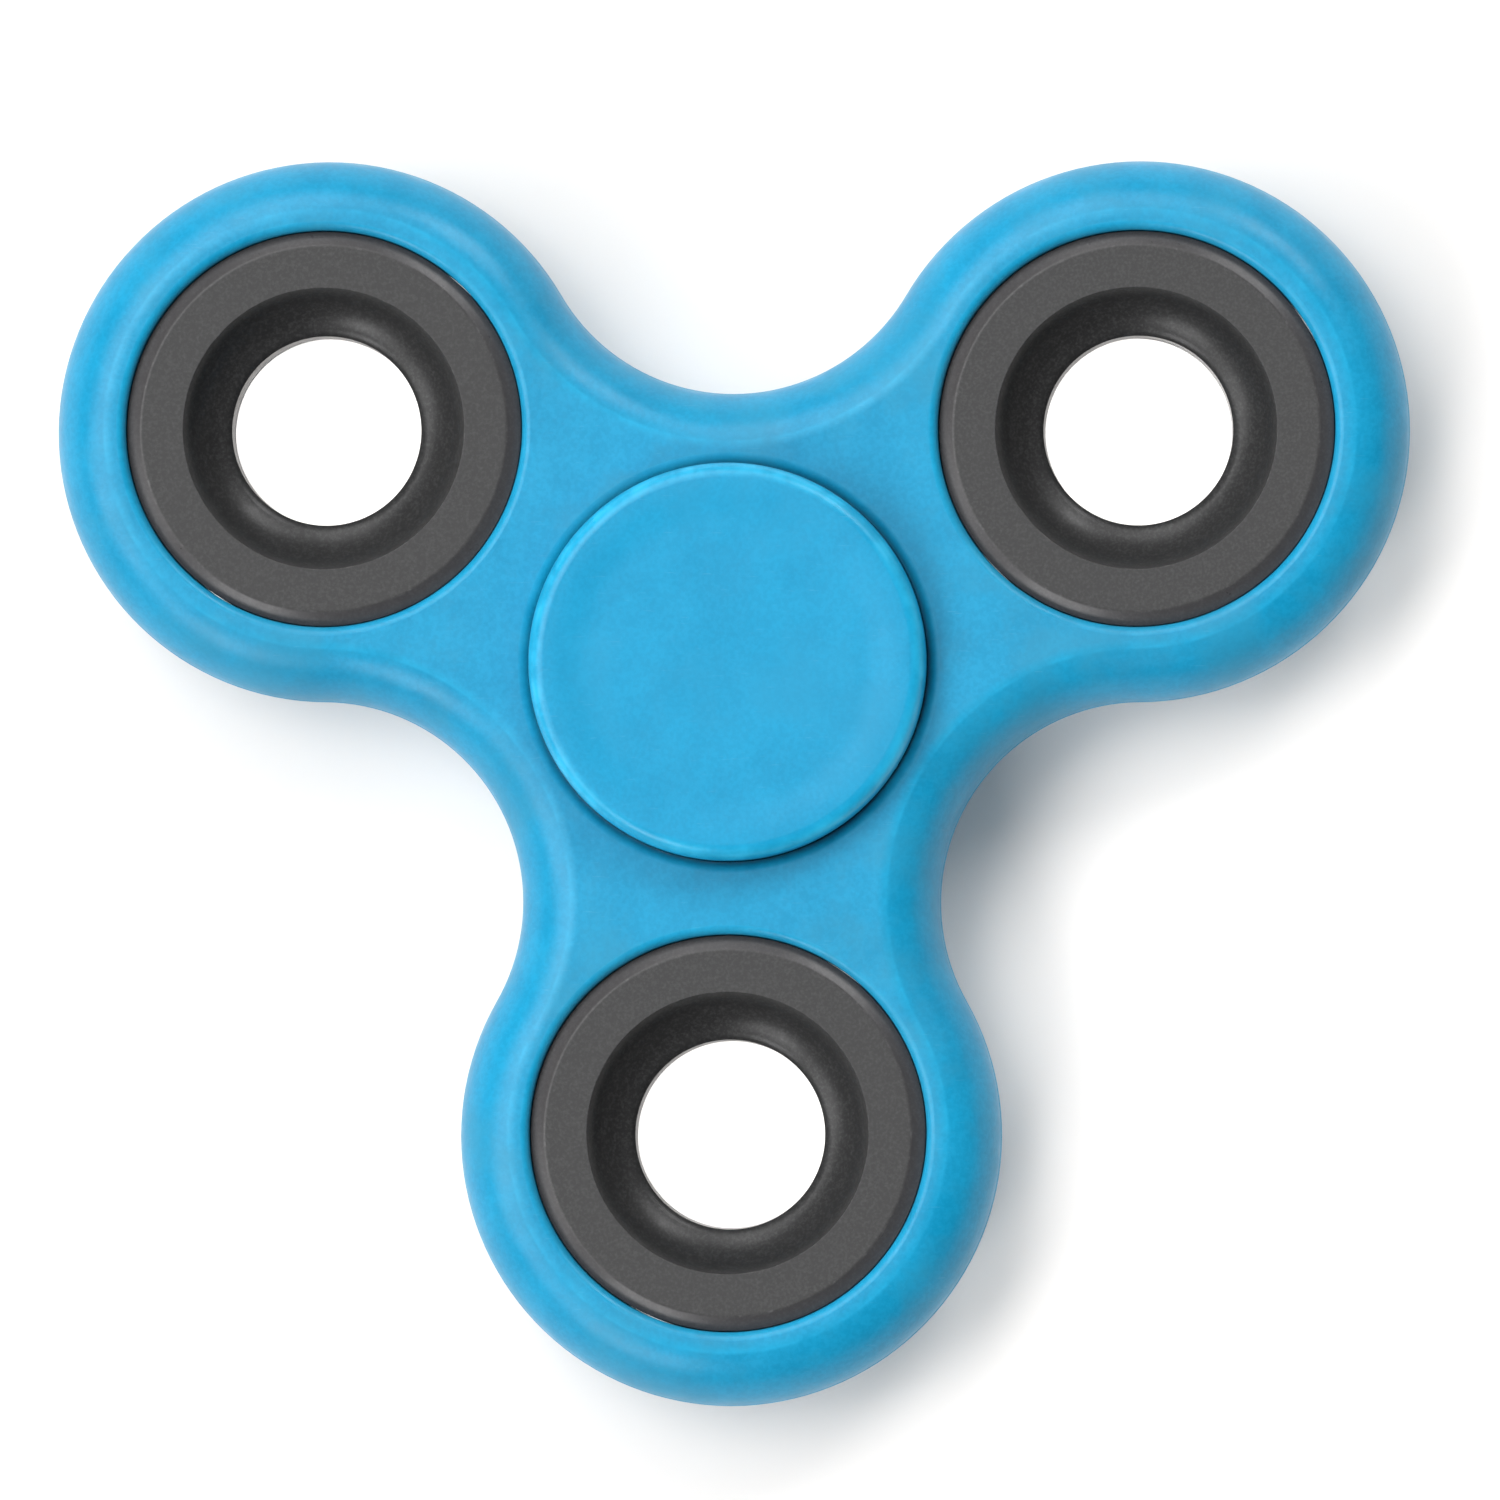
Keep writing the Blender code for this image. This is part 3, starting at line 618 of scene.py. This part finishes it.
class Finish:
    """A material in the making: adds nodes to its tree and joins them."""

    def __init__(self, name):
        self.material = bpy.data.materials.new(name)
        self.material.use_nodes = True
        self.tree = self.material.node_tree
        self.shader = self.tree.nodes["Principled BSDF"]
        self.place = self.add("ShaderNodeTexCoord").outputs["Object"]

    def add(self, kind, inputs=None, **settings):
        node = self.tree.nodes.new(kind)
        for name, value in settings.items():
            setattr(node, name, value)
        for socket, value in (inputs or {}).items():
            self.fill(node.inputs[socket], value)
        return node

    def fill(self, socket, value):
        if isinstance(value, bpy.types.NodeSocket):
            self.tree.links.new(value, socket)
        else:
            socket.default_value = value

    def surface(self, **inputs):
        """Sets sockets of the shader, with each name's underscores read as spaces."""
        for name, value in inputs.items():
            self.fill(self.shader.inputs[name.replace("_", " ")], value)

    def maths(self, operation, *values):
        node = self.add("ShaderNodeMath", operation=operation)
        for socket, value in zip(node.inputs, values):
            self.fill(socket, value)
        return node.outputs[0]

    def times(self, value, factor):
        return self.maths("MULTIPLY", value, factor)

    def noise(self, size, detail=3.0, place=None, roughness=0.55):
        """Cloudy noise whose lumps are about size metres across, different on each object."""
        shift = self.add("ShaderNodeObjectInfo").outputs["Random"]
        inputs = {
            "Vector": place or self.place,
            "W": self.times(shift, NOISE_SHIFT),
            "Scale": 1 / size,
            "Detail": detail,
            "Roughness": roughness,
        }
        return self.add("ShaderNodeTexNoise", inputs, noise_dimensions="4D").outputs[0]

    def ramp(self, value, start, end, low=0.0, high=1.0):
        inputs = {"Value": value, "From Min": start, "From Max": end, "To Min": low, "To Max": high}
        return self.add("ShaderNodeMapRange", inputs).outputs[0]

    def blend(self, factor, first, second):
        node = self.add("ShaderNodeMix", data_type="RGBA")
        for index, value in ((0, factor), (6, first), (7, second)):
            if isinstance(value, tuple):
                value = (*value, 1)
            self.fill(node.inputs[index], value)
        return node.outputs[2]

    def relief(self, *layers):
        """Stacks bumps given as (height from 0 to 1, depth in metres) and gives them to the shader."""
        normal = None
        for height, depth in layers:
            inputs = {"Height": height, "Distance": depth, "Strength": 1.0}
            if normal:
                inputs["Normal"] = normal
            normal = self.add("ShaderNodeBump", inputs).outputs[0]
        self.surface(Normal=normal)

    def edge(self):
        return self.add("ShaderNodeAttribute", attribute_name="edge").outputs["Fac"]

    def stretched(self, x, y, z):
        inputs = {"Vector": self.place, "Scale": (x, y, z)}
        return self.add("ShaderNodeMapping", inputs).outputs[0]

    def radius(self):
        """The distance from the piece's own Z axis."""
        x, y, _ = self.add("ShaderNodeSeparateXYZ", {"Vector": self.place}).outputs
        squares = self.maths("ADD", self.times(x, x), self.times(y, y))
        return self.maths("SQRT", squares)

    def round_axis(self):
        """Coordinates that hardly change round the Z axis, for the marks that turning leaves."""
        x, y, z = self.add("ShaderNodeSeparateXYZ", {"Vector": self.place}).outputs
        radius = self.radius()
        inputs = {
            "X": self.times(self.maths("DIVIDE", x, radius), ROUND_DRIFT),
            "Y": self.times(self.maths("DIVIDE", y, radius), ROUND_DRIFT),
            "Z": self.maths("ADD", radius, z),
        }
        return self.add("ShaderNodeCombineXYZ", inputs).outputs[0]


def moulded_plastic(name, deep, bright, dusty, roughness):
    """Satin moulded plastic: cloudy colour, a fine grain, hairlines, dull patches, and edges lightened
    partly as rubbed plastic and partly as painted highlight.
    """
    finish = Finish(name)
    clouds = finish.ramp(finish.noise(2.6 * MM, detail=5), 0.40, 0.60)
    speckle = finish.ramp(finish.noise(0.24 * MM, detail=2), 0.40, 0.60)
    shade = finish.maths("ADD", finish.times(clouds, 0.5), finish.times(speckle, 0.5))
    colour = finish.blend(shade, deep, bright)
    patches = finish.ramp(finish.noise(6.0 * MM, detail=6, roughness=0.65), 0.48, 0.62)
    colour = finish.blend(finish.times(patches, 0.45), colour, dusty)
    hairs = finish.noise(1.0, detail=2, place=finish.stretched(900, 12000, 900))
    hairs = finish.ramp(hairs, 0.68, 0.74)
    # Lighter blue on the marked edges, broken into patches by noise: partly rubbed plastic, partly a
    # painted highlight on rims, crease and lips.
    edge_patches = finish.ramp(finish.noise(1.4 * MM), 0.40, 0.60, 0.3, 1.0)
    rubbed_and_highlight = finish.times(finish.edge(), edge_patches)
    colour = finish.blend(finish.times(rubbed_and_highlight, 0.8), colour, RUB_AND_HIGHLIGHT_BLUE)
    colour = finish.blend(finish.times(hairs, 0.05), colour, HAIRLINE_BLUE)
    satin = finish.ramp(finish.noise(1.1 * MM, detail=4), 0.3, 0.7, roughness - 0.05, roughness + 0.05)
    satin = finish.maths("ADD", satin, finish.times(patches, 0.06))
    satin = finish.maths("SUBTRACT", satin, finish.times(rubbed_and_highlight, 0.03))
    finish.surface(Base_Color=colour, Roughness=satin)
    finish.surface(IOR=1.46, Specular_IOR_Level=0.33)
    finish.relief(
        (finish.noise(5.0 * MM, detail=1), 0.060 * MM),
        (finish.noise(0.9 * MM, detail=3), 0.016 * MM),
        (finish.noise(0.22 * MM, detail=3), 0.0080 * MM),
        (hairs, -0.0003 * MM),
    )
    return finish.material


def black_paint(name):
    """Black enamel on a steel ring: darker in the recesses as painted shade, lighter on the chamfers as
    rubbed paint and painted highlight.
    """
    finish = Finish(name)
    radius = finish.radius()
    flats = finish.ramp(radius, WEIGHT_RECESS_RADIUS - 0.1 * MM, WEIGHT_RECESS_RADIUS)
    rim = WEIGHT_RADIUS - WEIGHT_CHAMFER
    chamfers = finish.ramp(radius, rim - 0.1 * MM, rim + 0.1 * MM)
    # Painted shade: the recess inside WEIGHT_RECESS_RADIUS gets a darker black than the flats.
    colour = finish.blend(flats, RECESS_SHADE_BLACK, FLAT_BLACK)
    # The chamfers get a lighter black: rubbed paint and partly a painted highlight.
    colour = finish.blend(chamfers, colour, CHAMFER_RUB_AND_HIGHLIGHT_BLACK)
    speckle = finish.ramp(finish.noise(0.16 * MM, detail=3), 0.45, 0.8)
    colour = finish.blend(finish.times(speckle, 0.25), colour, SPECKLE_GREY)
    edge_patches = finish.ramp(finish.noise(0.45 * MM, detail=4), 0.56, 0.72)
    thin = finish.times(finish.edge(), edge_patches)
    colour = finish.blend(finish.times(thin, 0.4), colour, THIN_PAINT_GREY)
    satin = finish.ramp(finish.noise(0.8 * MM, detail=4), 0.3, 0.7, 0.42, 0.50)
    satin = finish.maths("SUBTRACT", satin, finish.times(chamfers, 0.15))
    satin = finish.maths("SUBTRACT", satin, finish.ramp(flats, 0, 1, 0.10, 0.0))
    finish.surface(Base_Color=colour, Roughness=satin)
    finish.surface(IOR=1.5, Specular_IOR_Level=0.30)
    finish.relief(
        (finish.noise(0.9 * MM, detail=2), 0.004 * MM),
        (finish.noise(0.13 * MM, detail=3), 0.0014 * MM),
    )
    return finish.material


def ground_steel(name):
    """Bearing steel with the fine rings that grinding leaves, under a film of oil."""
    finish = Finish(name)
    rings = finish.noise(0.035 * MM, detail=3, place=finish.round_axis())
    stain = finish.ramp(finish.noise(2.2 * MM, detail=4), 0.35, 0.7)
    colour = finish.blend(stain, *GROUND_STEELS)
    finish.surface(Base_Color=colour, Roughness=finish.ramp(rings, 0.3, 0.7, 0.14, 0.30))
    finish.surface(Metallic=1.0)
    finish.relief((rings, 0.0005 * MM))
    return finish.material


def polished_steel(name):
    """A bearing ball: mirror bright, with faint smears of oil."""
    finish = Finish(name)
    smear = finish.ramp(finish.noise(0.9 * MM, detail=4), 0.4, 0.75)
    colour = finish.blend(smear, *POLISHED_STEELS)
    finish.surface(Base_Color=colour, Roughness=finish.ramp(smear, 0, 1, 0.04, 0.16))
    finish.surface(Metallic=1.0)
    finish.relief((finish.noise(0.25 * MM, detail=2), 0.0002 * MM))
    return finish.material


def sheet_steel(name):
    """Cold rolled strip: grain in one direction, a few darker blotches and fine dents."""
    finish = Finish(name)
    grain = finish.noise(1.0, detail=4, place=finish.stretched(1500, 24000, 9000))
    blotch = finish.ramp(finish.noise(1.6 * MM, detail=5), 0.4, 0.75)
    colour = finish.blend(blotch, *ROLLED_STEELS)
    finish.surface(Base_Color=colour, Roughness=finish.ramp(grain, 0.3, 0.7, 0.26, 0.44))
    finish.surface(Metallic=1.0)
    finish.relief((grain, 0.0008 * MM), (finish.noise(0.7 * MM, detail=2), 0.002 * MM))
    return finish.material


# Pieces


def add_piece(name, mesh, material, body, node, place=(0, 0, 0), underside=False):
    """A piece at its place from the bearing's middle, riding on its body in the node's stead."""
    obj = bpy.data.objects.new(name, mesh)
    bpy.context.scene.collection.objects.link(obj)
    obj.location = Vector(place) + Vector((0, 0, MIDDLE_HEIGHT))
    if underside:
        obj.rotation_euler.x = math.pi
    if not mesh.materials:
        mesh.materials.append(material)
    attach(obj, body)
    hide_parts(node)


def add_rotor():
    blue = moulded_plastic("body_blue_plastic", *BODY_BLUES, BODY_ROUGHNESS)
    add_piece("body_moulding", body_mesh(), blue, "rotor", "spinner_body")
    paint = black_paint("black_enamel")
    weight = weight_mesh()
    for number, place in enumerate(lobe_places(), start=1):
        name = f"weight_ring_{number}"
        add_piece(name, weight, paint, "rotor", f"counterweight_{number}", place)


def add_bearing():
    steel = ground_steel("ground_steel")
    add_piece("race_inner", inner_race_mesh(), steel, "hub", "bearing_inner_race")
    add_piece("race_outer", outer_race_mesh(), steel, "rotor", "bearing_outer_race")
    sheet = sheet_steel("rolled_steel")
    shield = shield_mesh()
    clip = clip_mesh()
    for side, underside in (("top", False), ("bottom", True)):
        node = f"bearing_{side}_shield"
        add_piece(f"shield_{side}", shield, sheet, "rotor", node, underside=underside)
        node = f"{side}_shield_clip"
        add_piece(f"clip_{side}", clip, sheet, "rotor", node, underside=underside)
    polished = polished_steel("polished_steel")
    ball = ball_mesh()
    for number in range(1, BALLS + 1):
        name = f"ball_{number}"  # of the piece and of its body
        node = f"bearing_ball_{number}"
        place = polar(PITCH_RADIUS, (number - 1) * 2 * math.pi / BALLS)
        add_piece(name, ball, polished, name, node, place)


def add_cage():
    sheet = sheet_steel("cage_steel")
    ribbon = cage_half_mesh()
    for side, underside in (("upper", False), ("lower", True)):
        node = f"cage_{side}_half"
        add_piece(f"ribbon_{side}", ribbon, sheet, "ball_cage", node, underside=underside)
    rivet = rivet_mesh()
    for number, place in enumerate(tab_places(), start=1):
        node = f"cage_rivet_{number}"
        add_piece(f"rivet_{number}", rivet, sheet, "ball_cage", node, place)


def add_caps():
    blue = moulded_plastic("cap_blue_plastic", *CAP_BLUES, CAP_ROUGHNESS)
    cap = cap_mesh()
    for side, underside in (("top", False), ("bottom", True)):
        add_piece(f"cap_{side}", cap, blue, "hub", f"{side}_cap", underside=underside)


# Studio


def camera_back():
    """The direction from the spinner to the camera."""
    return polar(math.sin(CAMERA_LEAN), CAMERA_SIDE, math.cos(CAMERA_LEAN))


def add_camera():
    data = bpy.data.cameras.new("camera")
    data.sensor_width = SENSOR_WIDTH
    data.lens = SENSOR_WIDTH * CAMERA_DISTANCE / VIEW_WIDTH
    data.clip_start, data.clip_end = CAMERA_RANGE
    camera = bpy.data.objects.new("camera", data)
    bpy.context.scene.collection.objects.link(camera)
    back = camera_back()
    right = (Vector((1, 0, 0)) - back * back.x).normalized()
    turn = Matrix((right, back.cross(right), back)).transposed()
    camera.matrix_world = Matrix.Translation(AIM + back * CAMERA_DISTANCE) @ turn.to_4x4()
    bpy.context.scene.camera = camera


def add_light(name, kind, toward, place=(0, 0, 0)):
    """A light at its place that shines from the direction called toward."""
    data = bpy.data.lights.new(name, kind)
    light = bpy.data.objects.new(name, data)
    bpy.context.scene.collection.objects.link(light)
    light.location = place
    light.rotation_mode = "QUATERNION"
    light.rotation_quaternion = Vector(toward).to_track_quat("Z", "Y")
    return light


def add_soft_lights():
    for name, side, rise, spread, strength in SOFT_LIGHTS:
        side, rise = math.radians(side), math.radians(rise)
        light = add_light(name, "SUN", polar(math.cos(rise), side, math.sin(rise)))
        light.data.angle = math.radians(spread)
        light.data.energy = strength


def add_hole_lights():
    """A narrow light down each lobe's hole that turns with it, so that the floor seen there is white."""
    back = camera_back()
    for number, place in enumerate(lobe_places(), start=1):
        middle = place + Vector((0, 0, MIDDLE_HEIGHT))
        light = add_light(f"hole_light_{number}", "SPOT", back, middle + back * HOLE_LIGHT_DISTANCE)
        light.data.spot_size = 2 * math.atan(HOLE_LIGHT_RADIUS / HOLE_LIGHT_DISTANCE)
        light.data.spot_blend = 0
        light.data.shadow_soft_size = 0
        light.data.energy = HOLE_LIGHT_POWER
        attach(light, "rotor")


def add_floor():
    finish = Finish("pale_floor")
    tone = finish.ramp(finish.noise(FLOOR_MOTTLE, detail=3), 0.3, 0.7)
    finish.surface(Base_Color=finish.blend(tone, *FLOOR_TONES))
    finish.surface(Roughness=0.7, Specular_IOR_Level=0.2)
    finish.surface(Emission_Color=(1, 1, 1, 1), Emission_Strength=FLOOR_GLOW)
    half = FLOOR_SIZE / 2
    mesh = bpy.data.meshes.new("floor")
    corners = [(-half, -half, 0), (half, -half, 0), (half, half, 0), (-half, half, 0)]
    mesh.from_pydata(corners, [], [(0, 1, 2, 3)])
    mesh.materials.append(finish.material)
    floor = bpy.data.objects.new("floor", mesh)
    bpy.context.scene.collection.objects.link(floor)
    floor.location.z = FLOOR_HEIGHT


def add_world():
    """A room that is bright round the horizon and dim overhead."""
    world = bpy.data.worlds.new("studio")
    world.use_nodes = True
    nodes = world.node_tree.nodes
    links = world.node_tree.links
    place = nodes.new("ShaderNodeTexCoord")
    split = nodes.new("ShaderNodeSeparateXYZ")
    fade = nodes.new("ShaderNodeMapRange")
    fade.inputs["From Max"].default_value = HORIZON_BAND
    fade.inputs["To Min"].default_value = LOW_SKY
    fade.inputs["To Max"].default_value = HIGH_SKY
    links.new(place.outputs["Generated"], split.inputs["Vector"])
    links.new(split.outputs["Z"], fade.inputs["Value"])
    links.new(fade.outputs["Result"], nodes["Background"].inputs["Strength"])
    nodes["Background"].inputs["Color"].default_value = (1, 1, 1, 1)
    bpy.context.scene.world = world


def add_studio():
    bpy.context.scene.view_settings.view_transform = "Standard"
    add_world()
    add_floor()
    add_soft_lights()
    add_hole_lights()


add_camera()
add_studio()
add_rotor()
add_bearing()
add_cage()
add_caps()
bpy.context.view_layer.update()
